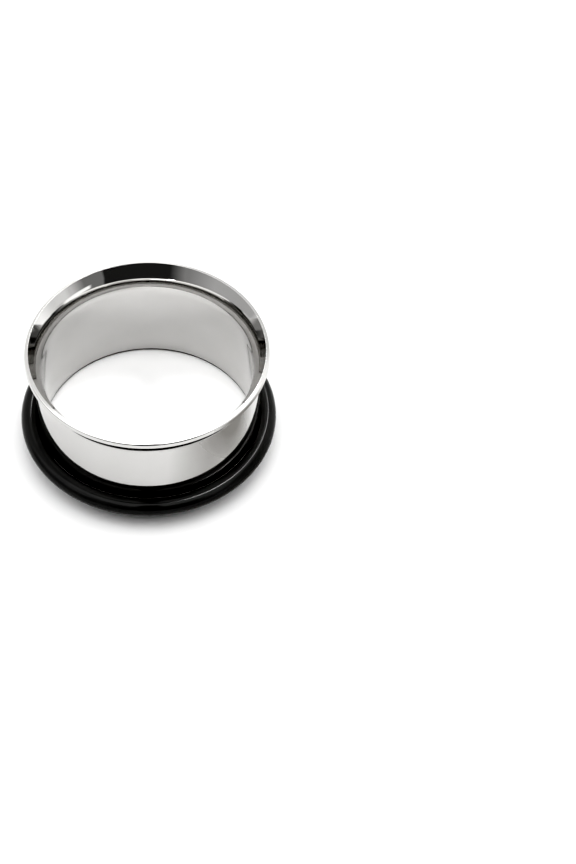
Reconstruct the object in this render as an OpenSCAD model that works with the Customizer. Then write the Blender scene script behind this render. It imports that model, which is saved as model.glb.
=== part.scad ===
// Flesh tunnel: a thin steel tube for a stretched earlobe, flared at one end.
// A rubber O-ring holds it from the other, plain end.
// The tube stands on its plain end, with its axis on Z and the flare on top.

/* [Tube] */
// Outside diameter of the straight tube, the size that the jewel is sold by
tube_d = 25.4; // [19:0.1:32]
// Thickness of the tube's wall where the bore is straight
wall = 0.85; // [0.75:0.01:1]
// Height from the plain end to the top of the lip
height = 13.8; // [12:0.1:18]

/* [Flare] */
// How far the lip stands out beyond the tube, all round
flare_reach = 1.05; // [0.95:0.01:1.4]
// Angle between the axis and the inside of the flare
inner_angle = 35.5; // [33:0.5:37]
// Radius of the bend from the bore into the flare
inner_bend = 4.4; // [3:0.1:4.6]
// Angle between the axis and the outside of the flare
outer_angle = 35.5; // [33:0.5:38]
// Radius of the bend from the tube into the flare, on its outside
outer_bend = 1.6; // [1.2:0.1:2]
// Width of the lip's face, between its roundings
lip_face = 0.26; // [0.2:0.01:0.36]
// Angle by which the face of the lip slopes down towards the outside
lip_slope = 20; // [10:1:30]
// Height of the narrow band round the outside of the lip
band_height = 0.3; // [0.2:0.01:0.35]
// Angle by which the band widens downwards
band_slope = 10; // [4:1:15]
// Rounding between the face of the lip and the band
lip_round = 0.24; // [0.1:0.01:0.26]
// Rounding along the inner edge of the lip
lip_inner_round = 0.03; // [0.02:0.01:0.05]
// Rounding under the band
under_round = 0.08; // [0.05:0.01:0.1]

/* [Plain end] */
// How far the bore opens towards the plain end
mouth_reach = 0.33; // [0.2:0.01:0.36]
// Height over which it opens
mouth_height = 3; // [2:0.1:4]
// Rounding along the inside of the plain end
inner_round = 0.15; // [0.05:0.01:0.2]
// Rounding along the outside of the plain end
outer_round = 0.1; // [0.05:0.01:0.12]

/* [O-ring] */
// Thickness of the O-ring
ring_d = 2; // [1.6:0.1:2.6]
// Height of the middle of the O-ring above the plain end
ring_z = 2.7; // [1.6:0.1:5]
// Depth of the shallow groove that the O-ring sits in
groove_depth = 0.15; // [0.05:0.01:0.2]
// Gap between the O-ring and its groove
seat_gap = 0.03; // [0.02:0.01:0.05]

/* [Hidden] */
$fn = 96;
tube_r = tube_d / 2;
bore_r = tube_r - wall;
ring_r = ring_d / 2;
groove_r = ring_r + seat_gap;
// Distance from the axis to the middle of the O-ring's section
ring_path_r = tube_r - groove_depth + groove_r;
// Steps in which the round stretches of the tube's section turn
bend_steps = 8;
edge_steps = 5;

// The section is drawn as [distance from the axis, height].
// Directions along the lip's face and the band, and out of the metal there
face_along = [cos(lip_slope), -sin(lip_slope)];
face_out = [sin(lip_slope), cos(lip_slope)];
band_down = [sin(band_slope), -cos(band_slope)];
band_out = [cos(band_slope), sin(band_slope)];
// Middle of the lip's inner rounding, which touches the full height
lip_rise = lip_round - lip_inner_round;
band_step = (lip_round - under_round) * band_out + band_height * band_down;
lip_x = tube_r + flare_reach - under_round - band_step.x - lip_face * face_along.x + lip_rise * face_out.x;
lip_inner = [lip_x, height - lip_inner_round];
// Middle of the rounding between face and band, and of the one under the band
lip_outer = lip_inner + lip_face * face_along - lip_rise * face_out;
lip_under = lip_outer + band_step;
// Middle of the bend that runs from the bore into the inside of the flare
inner_x = bore_r + inner_bend;
inner_fall = inner_bend - lip_inner_round - (inner_x - lip_inner.x) * cos(inner_angle);
inner_centre = [inner_x, lip_inner.y - inner_fall / sin(inner_angle)];
// Middle of the bend that runs from the tube's outside into the outside of the flare
outer_x = tube_r + outer_bend;
outer_fall = under_round + outer_bend - (outer_x - lip_under.x) * cos(outer_angle);
outer_centre = [outer_x, lip_under.y - outer_fall / sin(outer_angle)];
// Radius of the curve by which the bore opens, and its turn down to the rounding of the plain end
mouth_bend = (mouth_height * mouth_height + mouth_reach * mouth_reach) / (2 * mouth_reach);
mouth_turn = 180 + asin((mouth_height - inner_round) / (mouth_bend - inner_round));
// Distance from the axis to the middle of that rounding
mouth_x = bore_r + mouth_bend + (mouth_bend - inner_round) * cos(mouth_turn);

// Points of an arc, in equal steps
function arc(centre, radius, from, to, steps) =
    [for (i = [0:steps]) let (a = from + (to - from) * i / steps) centre + radius * [cos(a), sin(a)]];

// Section of tube and flare, anticlockwise from the outer edge of the plain end
module tube_section() {
    polygon(concat(
        arc([tube_r - outer_round, outer_round], outer_round, -90, 0, edge_steps),
        arc(outer_centre, outer_bend, 180, 180 - outer_angle, bend_steps),
        arc(lip_under, under_round, -outer_angle, band_slope, edge_steps),
        arc(lip_outer, lip_round, band_slope, 90 - lip_slope, edge_steps),
        arc(lip_inner, lip_inner_round, 90 - lip_slope, 180 - inner_angle, edge_steps),
        arc(inner_centre, inner_bend, 180 - inner_angle, 180, bend_steps),
        arc([bore_r + mouth_bend, mouth_height], mouth_bend, 180, mouth_turn, edge_steps),
        arc([mouth_x, inner_round], inner_round, mouth_turn, 270, edge_steps)
    ));
}

// Steel tube with its flare, and a shallow groove round it for the O-ring
module flared_tube() {
    color("silver") rotate_extrude() difference() {
        tube_section();
        translate([ring_path_r, ring_z]) circle(r = groove_r);
    }
}

// Rubber ring of round section, seated in the groove
module o_ring() {
    color("black") rotate_extrude() translate([ring_path_r, ring_z]) circle(r = ring_r);
}

flared_tube();
o_ring();
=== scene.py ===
from collections import namedtuple
from math import asin, atan2, cos, degrees, pi, radians, sin, sqrt

import bpy
from mathutils import Matrix, Vector


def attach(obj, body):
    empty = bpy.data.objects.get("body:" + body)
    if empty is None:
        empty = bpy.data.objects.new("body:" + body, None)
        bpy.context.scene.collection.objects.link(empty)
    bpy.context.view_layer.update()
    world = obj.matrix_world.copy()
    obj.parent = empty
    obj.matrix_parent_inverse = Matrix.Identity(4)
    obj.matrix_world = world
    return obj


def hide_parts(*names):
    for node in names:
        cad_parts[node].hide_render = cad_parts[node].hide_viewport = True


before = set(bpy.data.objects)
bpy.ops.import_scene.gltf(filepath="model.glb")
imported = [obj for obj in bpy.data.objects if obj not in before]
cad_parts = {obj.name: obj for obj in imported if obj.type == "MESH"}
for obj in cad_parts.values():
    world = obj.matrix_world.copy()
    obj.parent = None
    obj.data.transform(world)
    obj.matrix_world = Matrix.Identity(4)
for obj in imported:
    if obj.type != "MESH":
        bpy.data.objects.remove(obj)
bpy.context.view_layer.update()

MM = 0.001

# Sections of the tube and of the O-ring, in millimetres and degrees, as in the part's source
TUBE_R = 12.7
WALL = 0.85
HEIGHT = 13.8
FLARE_REACH = 1.05
INNER_ANGLE = 35.5
INNER_BEND = 4.4
OUTER_ANGLE = 35.5
OUTER_BEND = 1.6
LIP_FACE = 0.26
LIP_SLOPE = 20.0
BAND_HEIGHT = 0.3
BAND_SLOPE = 10.0
LIP_ROUND = 0.24
LIP_INNER_ROUND = 0.03
UNDER_ROUND = 0.08
MOUTH_REACH = 0.33
MOUTH_HEIGHT = 3.0
INNER_ROUND = 0.15
OUTER_ROUND = 0.1
RING_R = 1.0
RING_Z = 2.7
GROOVE_DEPTH = 0.15
SEAT_GAP = 0.03
# Distance from the axis to the middle of the O-ring's section
RING_PATH_R = TUBE_R - GROOVE_DEPTH + SEAT_GAP + RING_R
# Distance between an edge of the groove and the point of the wall beside it
GROOVE_MARGIN = 0.02

# Degrees from one point of an arc to the next, finer on the long bends, which mirror most
EDGE_STEP = 6.0
GROOVE_STEP = 4.0
OUTER_BEND_STEP = 1.0
LIP_STEP = 5.0
LIP_INNER_STEP = 9.0
INNER_BEND_STEP = 0.75
MOUTH_STEP = 0.6
RING_STEP = 3.0
# Steps of a full turn
TURNS = 512
# Neighbouring points of an outline become one within this distance in millimetres, unless the cosine between
# their directions is below the second value
SAME_PLACE = 1e-6
SAME_WAY = 0.9999

# Polished steel: its darkest and lightest tint, and a dark tint painted along the plain end's bottom edge as
# shade
STEEL_DARK = (0.55, 0.545, 0.536)
STEEL_LIGHT = (0.592, 0.588, 0.58)
EDGE_SHADE_TINT = (0.07, 0.066, 0.06)
# Height up to which that painted shade reaches, and width of its soft border, in millimetres
EDGE_SHADE_HEIGHT = 0.3
EDGE_SHADE_BORDER = 0.1
# Roughness of the steel, and what the buffing lines, the clouds and the shaded bottom edge add to it
STEEL_ROUGH = 0.022
LINES_ROUGH = 0.02
CLOUD_ROUGH = 0.016
EDGE_SHADE_ROUGH = 0.35

# Black rubber: its darkest and lightest tint, its roughness, what the clouds add to it, and its shine
RUBBER_DARK = (0.018, 0.018, 0.018)
RUBBER_LIGHT = (0.03, 0.03, 0.029)
RUBBER_ROUGH = 0.05
RUBBER_CLOUD_ROUGH = 0.05
RUBBER_SHINE = 0.2

# White floor: its lightness and mottle, and half its side and its drop below the part in metres
FLOOR_ALBEDO = 0.8
FLOOR_MOTTLE = 0.01
FLOOR_HALF = 3.0
FLOOR_DROP = 0.00001

# Painted reflection of shade: soft glowing grey cards that only reflections show, with the middles of their
# lower and upper ends and half their width in millimetres. A cover above 1 gives a card a solid core, and
# noise varies the cover
REFLECTED_SHADE_COLOUR = (0.56, 0.55, 0.53)
CARD_NOISE = 0.2
CARDS = [
    {"foot": (13.6, -8.2, -1.0), "top": (19.0, -8.2, 14.0), "half_width": 8.0, "cover": 1.9},
    {"foot": (4.0, -13.0, 0.5), "top": (26.0, -13.0, 0.5), "half_width": 11.0, "cover": 0.75},
]

# Camera: focal length in pixels of an image of this height, and size of the sensor along it in millimetres
FOCAL = 2615.0
IMAGE_HEIGHT = 864
SENSOR = 36
# Pitch and roll in degrees, and the part's origin in the camera's axes (right, down, ahead) in millimetres
PITCH = 50.4
ROLL = -1.95
ORIGIN_SEEN = (-16.0, -0.375, 301.95)

# Light of the studio: radiance by direction, one layer over the other, on top of a base. A layer runs from
# one azimuth to another (az, 0 at the camera's side, 90 at the right) and from one elevation to another (el),
# in degrees, each end with its own soft edge. Tilt raises it by so many degrees of elevation per degree of
# azimuth, and a lamp shows in reflections only
Layer = namedtuple("Layer", "az az_soft el el_soft radiance tilt lamp", defaults=(0, False))
BASE = 2.05
STUDIO = {
    "top": Layer(az=(-181, 181), az_soft=(1, 1), el=(52, 91), el_soft=(12, 1), radiance=3.95),
    "fill_left": Layer(az=(-112, -46), az_soft=(8, 8), el=(27, 56), el_soft=(4, 10), radiance=2.9),
    "fill_right": Layer(az=(48, 112), az_soft=(8, 8), el=(27, 56), el_soft=(4, 10), radiance=2.6),
    "side_left": Layer(az=(-158, -112), az_soft=(16, 12), el=(10, 66), el_soft=(8, 8), radiance=1.65),
    "back_right": Layer(az=(138, 178), az_soft=(10, 6), el=(-5, 38), el_soft=(1, 10), radiance=1.4),
    "low_left": Layer(az=(-106, 0), az_soft=(14, 1), el=(-5, 29), el_soft=(1, 8), radiance=0.95),
    "low_right": Layer(az=(0, 96), az_soft=(1, 20), el=(-5, 27), el_soft=(1, 8), radiance=1.25),
    "front_left": Layer(az=(-46, 0), az_soft=(24, 1), el=(-5, 31), el_soft=(1, 6), radiance=0.62),
    "front_right": Layer(az=(0, 65), az_soft=(1, 12), el=(-5, 27), el_soft=(1, 6), radiance=0.5),
    "front_dark": Layer(az=(-24, 41), az_soft=(14, 2), el=(-5, 29), el_soft=(1, 6), radiance=0.13),
    "front_mid_left": Layer(az=(-46, 0), az_soft=(10, 1), el=(30, 50), el_soft=(4, 6), radiance=1.0),
    "front_mid_right": Layer(az=(0, 48), az_soft=(1, 10), el=(27, 50), el_soft=(4, 6), radiance=0.45),
    "camera_low": Layer(az=(-17, 27), az_soft=(5, 5), el=(20, 34), el_soft=(4, 4), radiance=0.13),
    "camera_dark": Layer(az=(-10, 15), az_soft=(5, 5), el=(28, 74), el_soft=(4, 5), radiance=0.13),
    "side_right": Layer(az=(75, 100), az_soft=(4, 8), el=(9, 24), el_soft=(3, 6), radiance=1.5),
    "window": Layer(az=(54, 81), az_soft=(3, 6), el=(2.5, 11.8), el_soft=(2, 2), radiance=2.2, tilt=-0.3),
    "key": Layer(az=(132, 174), az_soft=(14, 6), el=(54.5, 60.5), el_soft=(2, 2),
                 radiance=24.0, tilt=-0.5, lamp=True),
    "key_high": Layer(az=(102, 138), az_soft=(6, 12), el=(70.8, 76.8), el_soft=(2, 2),
                      radiance=82.0, tilt=-0.5, lamp=True),
}
# Radiance of the backdrop that the camera itself sees
BACKDROP = 1.2
# How many times in a row light may be mirrored
GLOSSY_BOUNCES = 10

# Tone of the picture: display values up to the black point turn black. The curve has a point at each shade
BLACK_POINT = 0.2
CURVE_SHADES = (BLACK_POINT, 0.3, 0.4, 0.5, 0.6, 0.7, 0.8, 0.9)


def polar(angle):
    """Unit vector at an angle in degrees, in the plane of the section"""
    return Vector((cos(radians(angle)), sin(radians(angle))))


def arc(centre, radius, start, end, step, side=1):
    """Points of an arc with their outward directions; side is -1 where the metal is outside the arc"""
    count = max(2, round(abs(end - start) / step))
    angles = [start + (end - start) * i / count for i in range(count + 1)]
    return [(centre + radius * polar(a), side * polar(a)) for a in angles]


def lip_centres():
    """Middles of the roundings of the lip: its inner edge, its outer edge, and under the band"""
    along, out = polar(-LIP_SLOPE), polar(90 - LIP_SLOPE)
    rise = LIP_ROUND - LIP_INNER_ROUND
    band = (LIP_ROUND - UNDER_ROUND) * polar(BAND_SLOPE) + BAND_HEIGHT * polar(BAND_SLOPE - 90)
    x = TUBE_R + FLARE_REACH - UNDER_ROUND - band.x - LIP_FACE * along.x + rise * out.x
    inner = Vector((x, HEIGHT - LIP_INNER_ROUND))
    outer = inner + LIP_FACE * along - rise * out
    return inner, outer, outer + band


def bend_centre(start_r, bend, angle, lip, fall):
    """Middle of the bend that begins at a radius and runs into a straight flank past the lip's rounding"""
    x = start_r + bend
    return Vector((x, lip.y - (fall - (x - lip.x) * cos(radians(angle))) / sin(radians(angle))))


def tube_outline():
    """Closed outline of the tube's section, anticlockwise from the outer edge of the plain end"""
    bore_r = TUBE_R - WALL
    lip_inner, lip_outer, lip_under = lip_centres()
    inner_centre = bend_centre(bore_r, INNER_BEND, INNER_ANGLE, lip_inner, INNER_BEND - LIP_INNER_ROUND)
    outer_centre = bend_centre(TUBE_R, OUTER_BEND, OUTER_ANGLE, lip_under, OUTER_BEND + UNDER_ROUND)
    mouth_bend = (MOUTH_HEIGHT ** 2 + MOUTH_REACH ** 2) / (2 * MOUTH_REACH)
    mouth_turn = 180 + degrees(asin((MOUTH_HEIGHT - INNER_ROUND) / (mouth_bend - INNER_ROUND)))
    mouth_centre = Vector((bore_r + mouth_bend, MOUTH_HEIGHT))
    edge_x = mouth_centre.x + (mouth_bend - INNER_ROUND) * cos(radians(mouth_turn))
    groove_r = RING_R + SEAT_GAP
    half = sqrt(groove_r ** 2 - (RING_PATH_R - TUBE_R) ** 2)
    reach = degrees(atan2(half, RING_PATH_R - TUBE_R))
    beside = half + GROOVE_MARGIN
    wall_out = Vector((1, 0))
    return (
        arc(Vector((TUBE_R - OUTER_ROUND, OUTER_ROUND)), OUTER_ROUND, -90, 0, EDGE_STEP)
        + [(Vector((TUBE_R, RING_Z - beside)), wall_out)]
        + arc(Vector((RING_PATH_R, RING_Z)), groove_r, 180 + reach, 180 - reach, GROOVE_STEP, -1)
        + [(Vector((TUBE_R, RING_Z + beside)), wall_out)]
        + arc(outer_centre, OUTER_BEND, 180, 180 - OUTER_ANGLE, OUTER_BEND_STEP, -1)
        + arc(lip_under, UNDER_ROUND, -OUTER_ANGLE, BAND_SLOPE, EDGE_STEP)
        + arc(lip_outer, LIP_ROUND, BAND_SLOPE, 90 - LIP_SLOPE, LIP_STEP)
        + arc(lip_inner, LIP_INNER_ROUND, 90 - LIP_SLOPE, 180 - INNER_ANGLE, LIP_INNER_STEP)
        + arc(inner_centre, INNER_BEND, 180 - INNER_ANGLE, 180, INNER_BEND_STEP)
        + arc(mouth_centre, mouth_bend, 180, mouth_turn, MOUTH_STEP)
        + arc(Vector((edge_x, INNER_ROUND)), INNER_ROUND, mouth_turn, 270, EDGE_STEP)
    )


def ring_outline():
    """Closed outline of the O-ring's section"""
    return arc(Vector((RING_PATH_R, RING_Z)), RING_R, 0, 360, RING_STEP)[:-1]


def add_mesh(name, verts, faces):
    """Object of a new mesh, in the scene"""
    mesh = bpy.data.meshes.new(name)
    mesh.from_pydata(verts, [], faces)
    mesh.update()
    obj = bpy.data.objects.new(name, mesh)
    bpy.context.scene.collection.objects.link(obj)
    return obj


def revolve(name, outline):
    """Mesh of a section turned about Z, shaded with the section's own directions"""
    clean = [outline[0]]
    for point, out in outline[1:]:
        if (point - clean[-1][0]).length > SAME_PLACE or out.dot(clean[-1][1]) < SAME_WAY:
            clean.append((point, out))
    verts, normals = [], []
    for i in range(TURNS):
        c, s = cos(2 * pi * i / TURNS), sin(2 * pi * i / TURNS)
        for point, out in clean:
            verts.append((point.x * c * MM, point.x * s * MM, point.y * MM))
            normals.append((out.x * c, out.x * s, out.y))
    n = len(clean)
    faces = []
    for i in range(TURNS):
        j = (i + 1) % TURNS
        for k in range(n):
            m = (k + 1) % n
            faces.append((i * n + k, j * n + k, j * n + m, i * n + m))
    obj = add_mesh(name, verts, faces)
    obj.data.shade_smooth()
    obj.data.normals_split_custom_set_from_vertices(normals)
    return obj


def square(name, half):
    """Flat square about its own origin, from half its side"""
    corners = [(-half, -half, 0), (half, -half, 0), (half, half, 0), (-half, half, 0)]
    return add_mesh(name, corners, [(0, 1, 2, 3)])


def new_material(name):
    """Material with its nodes and links"""
    material = bpy.data.materials.new(name)
    material.use_nodes = True
    return material, material.node_tree.nodes, material.node_tree.links


def shader_math(nodes, links, operation, a, b=None, c=None, clamp=False):
    """Output of a math node whose inputs are numbers or other outputs"""
    node = nodes.new("ShaderNodeMath")
    node.operation = operation
    node.use_clamp = clamp
    for socket, value in zip(node.inputs, (a, b, c)):
        if value is None:
            continue
        if isinstance(value, (int, float)):
            socket.default_value = value
        else:
            links.new(value, socket)
    return node.outputs[0]


def object_place(nodes):
    """Place on the object, in its own units"""
    return nodes.new("ShaderNodeTexCoord").outputs["Object"]


def noise(nodes, links, vector, scale, detail, roughness=0.5):
    """Noise with so many waves per unit of the vector"""
    node = nodes.new("ShaderNodeTexNoise")
    node.inputs["Scale"].default_value = scale
    node.inputs["Detail"].default_value = detail
    node.inputs["Roughness"].default_value = roughness
    links.new(vector, node.inputs["Vector"])
    return node.outputs["Fac"]


def blend(nodes, links, factor, first, second):
    """Mix of two colours, each given as numbers or as another output"""
    node = nodes.new("ShaderNodeMix")
    node.data_type = "RGBA"
    for socket, colour in ((node.inputs["A"], first), (node.inputs["B"], second)):
        if isinstance(colour, tuple):
            socket.default_value = (*colour, 1)
        else:
            links.new(colour, socket)
    links.new(factor, node.inputs["Factor"])
    return node.outputs["Result"]


def bump(nodes, links, height, depth, normal=None):
    """Normal of a relief, its depth in millimetres"""
    node = nodes.new("ShaderNodeBump")
    node.inputs["Strength"].default_value = 1.0
    node.inputs["Distance"].default_value = depth * MM
    links.new(height, node.inputs["Height"])
    if normal:
        links.new(normal, node.inputs["Normal"])
    return node.outputs["Normal"]


def turned_place(nodes, links, place):
    """Height in millimetres, and a vector whose noise makes lines round the axis"""
    split = nodes.new("ShaderNodeSeparateXYZ")
    links.new(place, split.inputs[0])
    x, y, z = split.outputs
    square_r = shader_math(nodes, links, "MULTIPLY_ADD", x, x, shader_math(nodes, links, "MULTIPLY", y, y))
    radius = shader_math(nodes, links, "MULTIPLY", shader_math(nodes, links, "SQRT", square_r), 1 / MM)
    height = shader_math(nodes, links, "MULTIPLY", z, 1 / MM)
    join = nodes.new("ShaderNodeCombineXYZ")
    links.new(radius, join.inputs[0])
    links.new(shader_math(nodes, links, "ARCTAN2", y, x), join.inputs[1])
    links.new(height, join.inputs[2])
    return height, join.outputs[0]


def steel_material():
    """Buffed stainless steel with faint lines round its axis, and a dark tint painted along the plain end's
    bottom edge as the shade where it meets the floor, rougher there
    """
    material, nodes, links = new_material("polished_steel")
    bsdf = nodes["Principled BSDF"]
    bsdf.inputs["Metallic"].default_value = 1.0
    place = object_place(nodes)
    height, turned = turned_place(nodes, links, place)
    lines = noise(nodes, links, turned, scale=6.0, detail=4.0, roughness=0.6)
    cloud = noise(nodes, links, place, scale=260.0, detail=3.0)
    wave = noise(nodes, links, place, scale=180.0, detail=1.0)
    tint = blend(nodes, links, cloud, STEEL_DARK, STEEL_LIGHT)
    # Painted shade: just above the floor the steel turns dark, as the shade where it meets the floor
    fade_start = 0.5 + EDGE_SHADE_HEIGHT / EDGE_SHADE_BORDER
    edge_shade = shader_math(nodes, links, "MULTIPLY_ADD", height, -1 / EDGE_SHADE_BORDER, fade_start, clamp=True)
    links.new(blend(nodes, links, edge_shade, tint, EDGE_SHADE_TINT), bsdf.inputs["Base Color"])
    rough = shader_math(nodes, links, "MULTIPLY_ADD", lines, LINES_ROUGH, STEEL_ROUGH)
    rough = shader_math(nodes, links, "MULTIPLY_ADD", cloud, CLOUD_ROUGH, rough)
    rough = shader_math(nodes, links, "MULTIPLY_ADD", edge_shade, EDGE_SHADE_ROUGH, rough)
    links.new(rough, bsdf.inputs["Roughness"])
    wavy = bump(nodes, links, wave, depth=0.006)
    links.new(bump(nodes, links, lines, depth=0.00025, normal=wavy), bsdf.inputs["Normal"])
    return material


def rubber_material():
    """Moulded rubber with a fine grain"""
    material, nodes, links = new_material("black_rubber")
    bsdf = nodes["Principled BSDF"]
    place = object_place(nodes)
    cloud = noise(nodes, links, place, scale=500.0, detail=4.0)
    grain = noise(nodes, links, place, scale=9000.0, detail=2.0)
    links.new(blend(nodes, links, cloud, RUBBER_DARK, RUBBER_LIGHT), bsdf.inputs["Base Color"])
    rough = shader_math(nodes, links, "MULTIPLY_ADD", cloud, RUBBER_CLOUD_ROUGH, RUBBER_ROUGH)
    links.new(rough, bsdf.inputs["Roughness"])
    bsdf.inputs["Specular IOR Level"].default_value = RUBBER_SHINE
    links.new(bump(nodes, links, grain, depth=0.0003), bsdf.inputs["Normal"])
    return material


def floor_material():
    """White paper with a faint mottle"""
    material, nodes, links = new_material("floor")
    bsdf = nodes["Principled BSDF"]
    cloud = noise(nodes, links, object_place(nodes), scale=60.0, detail=5.0)
    dark, light = (FLOOR_ALBEDO - FLOOR_MOTTLE,) * 3, (FLOOR_ALBEDO + FLOOR_MOTTLE,) * 3
    links.new(blend(nodes, links, cloud, dark, light), bsdf.inputs["Base Color"])
    bsdf.inputs["Roughness"].default_value = 1.0
    bsdf.inputs["Specular IOR Level"].default_value = 0.0
    return material


def card_material(cover):
    """Painted reflection of shade: grey glow that thins out towards its edges, so that its reflection has no
    hard border
    """
    material, nodes, links = new_material("card")
    nodes.remove(nodes["Principled BSDF"])
    place = object_place(nodes)
    fall = nodes.new("ShaderNodeTexGradient")
    fall.gradient_type = "SPHERICAL"
    links.new(place, fall.inputs["Vector"])
    patchy = noise(nodes, links, place, scale=3.0, detail=3.0)
    patchy = shader_math(nodes, links, "MULTIPLY_ADD", patchy, CARD_NOISE, cover - CARD_NOISE / 2)
    share = shader_math(nodes, links, "MULTIPLY", patchy, fall.outputs["Fac"], clamp=True)
    clear = nodes.new("ShaderNodeBsdfTransparent")
    # Painted reflection of shade: a grey glow that only reflections see
    dark = nodes.new("ShaderNodeEmission")
    dark.inputs["Color"].default_value = (*REFLECTED_SHADE_COLOUR, 1)
    mix = nodes.new("ShaderNodeMixShader")
    links.new(share, mix.inputs[0])
    links.new(clear.outputs[0], mix.inputs[1])
    links.new(dark.outputs[0], mix.inputs[2])
    links.new(mix.outputs[0], nodes["Material Output"].inputs["Surface"])
    return material


def floor():
    """Pale floor that the part stands on"""
    obj = square("floor", FLOOR_HALF)
    obj.location.z = -FLOOR_DROP
    obj.data.materials.append(floor_material())


def card(foot, top, half_width, cover):
    """Soft glowing grey card that only reflections show, a painted reflection of shade"""
    foot, top = Vector(foot), Vector(top)
    obj = square("card", 1)
    obj.location = (top + foot) / 2 * MM
    obj.rotation_euler = (0, -atan2(top.z - foot.z, top.x - foot.x), 0)
    obj.scale = ((top - foot).length / 2 * MM, half_width * MM, 1)
    obj.data.materials.append(card_material(cover))
    obj.visible_camera = False
    obj.visible_diffuse = False
    obj.visible_shadow = False


def camera():
    """Camera in front of the part, looking down at it"""
    pitch, roll = radians(PITCH), radians(ROLL)
    right, forward = Vector((1, 0, 0)), Vector((0, cos(pitch), -sin(pitch)))
    down = forward.cross(right)
    c, s = cos(roll), sin(roll)
    rows = Matrix((c * right + s * down, -s * right + c * down, forward))
    place = -(rows.transposed() @ (Vector(ORIGIN_SEEN) * MM))
    turned = Matrix((rows[0], -rows[1], -rows[2])).transposed()
    data = bpy.data.cameras.new("camera")
    data.sensor_width = SENSOR
    data.lens = FOCAL / IMAGE_HEIGHT * SENSOR
    data.clip_start = 0.01
    data.clip_end = 10
    obj = bpy.data.objects.new("camera", data)
    obj.matrix_world = Matrix.Translation(place) @ turned.to_4x4()
    bpy.context.scene.collection.objects.link(obj)
    bpy.context.scene.camera = obj


def studio():
    """World whose brightness depends on direction, plain to the camera itself"""
    world = bpy.data.worlds.new("studio")
    bpy.context.scene.world = world
    world.use_nodes = True
    nodes, links = world.node_tree.nodes, world.node_tree.links
    nodes.clear()

    def math(operation, *values, clamp=False):
        """Output of a math node of the world"""
        return shader_math(nodes, links, operation, *values, clamp=clamp)

    def within(value, span, soft):
        """1 inside a span and 0 outside it, with a soft edge at each end"""
        low = math("MULTIPLY_ADD", value, 1 / soft[0], 0.5 - span[0] / soft[0], clamp=True)
        high = math("MULTIPLY_ADD", value, -1 / soft[1], 0.5 + span[1] / soft[1], clamp=True)
        return math("MULTIPLY", low, high)

    coordinates = nodes.new("ShaderNodeTexCoord")
    split = nodes.new("ShaderNodeSeparateXYZ")
    links.new(coordinates.outputs["Generated"], split.inputs[0])
    x, y, z = split.outputs
    azimuth = math("DEGREES", math("ARCTAN2", x, math("MULTIPLY", y, -1.0)))
    elevation = math("DEGREES", math("ARCSINE", z))
    path = nodes.new("ShaderNodeLightPath")
    value = BASE
    for name, layer in STUDIO.items():
        middle = sum(layer.az) / 2
        turn = math("WRAP", math("SUBTRACT", azimuth, middle), 180.0, -180.0)
        span = [a - middle for a in layer.az]
        height = math("MULTIPLY_ADD", turn, -layer.tilt, elevation)
        mask = math("MULTIPLY", within(turn, span, layer.az_soft), within(height, layer.el, layer.el_soft))
        mask.node.label = name
        if layer.lamp:
            mask = math("MULTIPLY", mask, path.outputs["Is Glossy Ray"])
        value = math("MULTIPLY_ADD", mask, math("SUBTRACT", layer.radiance, value), value)
    plain = math("MULTIPLY_ADD", path.outputs["Is Camera Ray"], math("SUBTRACT", BACKDROP, value), value)
    background = nodes.new("ShaderNodeBackground")
    links.new(plain, background.inputs["Strength"])
    output = nodes.new("ShaderNodeOutputWorld")
    links.new(background.outputs[0], output.inputs[0])


def to_linear(value):
    """Linear value of a display value"""
    return value / 12.92 if value <= 0.04045 else ((value + 0.055) / 1.055) ** 2.4


def tone():
    """Curve by which everything up to the black point is black, and the rest is spread evenly above it"""
    view = bpy.context.scene.view_settings
    view.view_transform = "Standard"
    view.use_curve_mapping = True
    combined = view.curve_mapping.curves[3]
    for shade in CURVE_SHADES:
        combined.points.new(to_linear(shade), to_linear((shade - BLACK_POINT) / (1 - BLACK_POINT)))
    view.curve_mapping.update()


steel, rubber = steel_material(), rubber_material()
tube = revolve("polished_tube", tube_outline())
tube.data.materials.append(steel)
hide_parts("flared_tube")
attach(tube, "root")
ring = revolve("rubber_ring", ring_outline())
ring.data.materials.append(rubber)
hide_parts("o_ring")
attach(ring, "root")

floor()
# Cards that paint a reflection of shade beside the part
for row in CARDS:
    card(**row)
camera()
studio()
tone()
bpy.context.scene.cycles.glossy_bounces = GLOSSY_BOUNCES
bpy.context.scene.cycles.blur_glossy = 0.0
